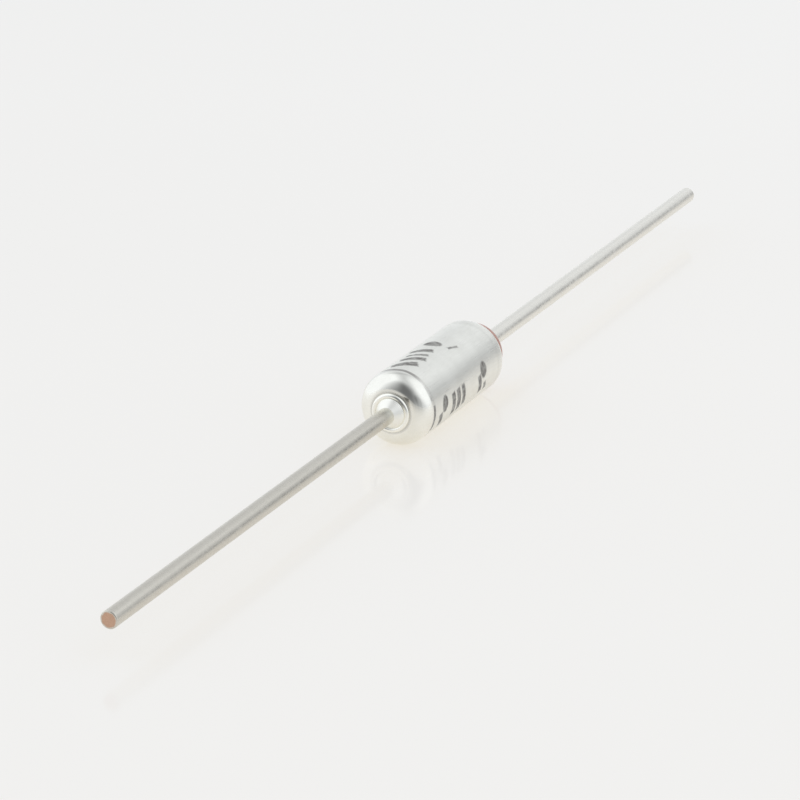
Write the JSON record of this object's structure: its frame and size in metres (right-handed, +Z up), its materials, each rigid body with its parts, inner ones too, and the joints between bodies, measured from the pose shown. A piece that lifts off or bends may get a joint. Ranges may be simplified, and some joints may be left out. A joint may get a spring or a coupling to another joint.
{
  "type": "thermal fuse",
  "caption": "Axial thermal fuse: a silver metal can with a round closed end, a resin-sealed end and a straight tinned lead at either end, which opens a circuit once when it overheats.",
  "frame": {"origin": "middle of the can, on its axis", "axes": "+X along the axis, from the closed end towards the resin-sealed end; +Z up"},
  "size_m": [0.0715, 0.004, 0.004],
  "materials": {
    "plated_case": "silver-plated brass, satin wall and polished shoulder",
    "tinned_wire": "tinned copper, grey and softly mottled, bare copper at the cut tips",
    "red_resin": "reddish sealing resin, softly glossy",
    "white_ceramic": "unglazed white ceramic",
    "pellet_wax": "pressed waxy pellet",
    "bare_disk": "bare stamped brass",
    "spring_wire": "drawn spring wire",
    "silvered_contact": "silver-plated copper sheet"
  },
  "bodies": {
    "fuse_body": {"case": "plated_case", "case_lead": "tinned_wire", "isolated_lead": "tinned_wire", "sealing_resin": "red_resin", "ceramic_bushing": "white_ceramic", "thermal_pellet": "pellet_wax", "trip_spring": "spring_wire"},
    "floating_contact": {"star_contact": "silvered_contact", "contact_disk": "bare_disk", "main_spring": "spring_wire"},
    "pellet_follower": {"pellet_disk": "bare_disk"}
  },
  "joints": [
    {"name": "contact_trip", "type": "slide", "parent": "fuse_body", "child": "floating_contact", "axis": [-1, 0, 0], "range_m": [0, 0.0008], "deforming": ["trip_spring", "thermal_pellet"]},
    {"name": "pellet_disk_drop", "type": "slide", "parent": "floating_contact", "child": "pellet_follower", "axis": [-1, 0, 0], "range_m": [0, 0.0008], "deforming": ["main_spring"]}
  ],
  "couplings": [
    {"joint": "pellet_disk_drop", "follows": "contact_trip", "ratio": 1}
  ]
}
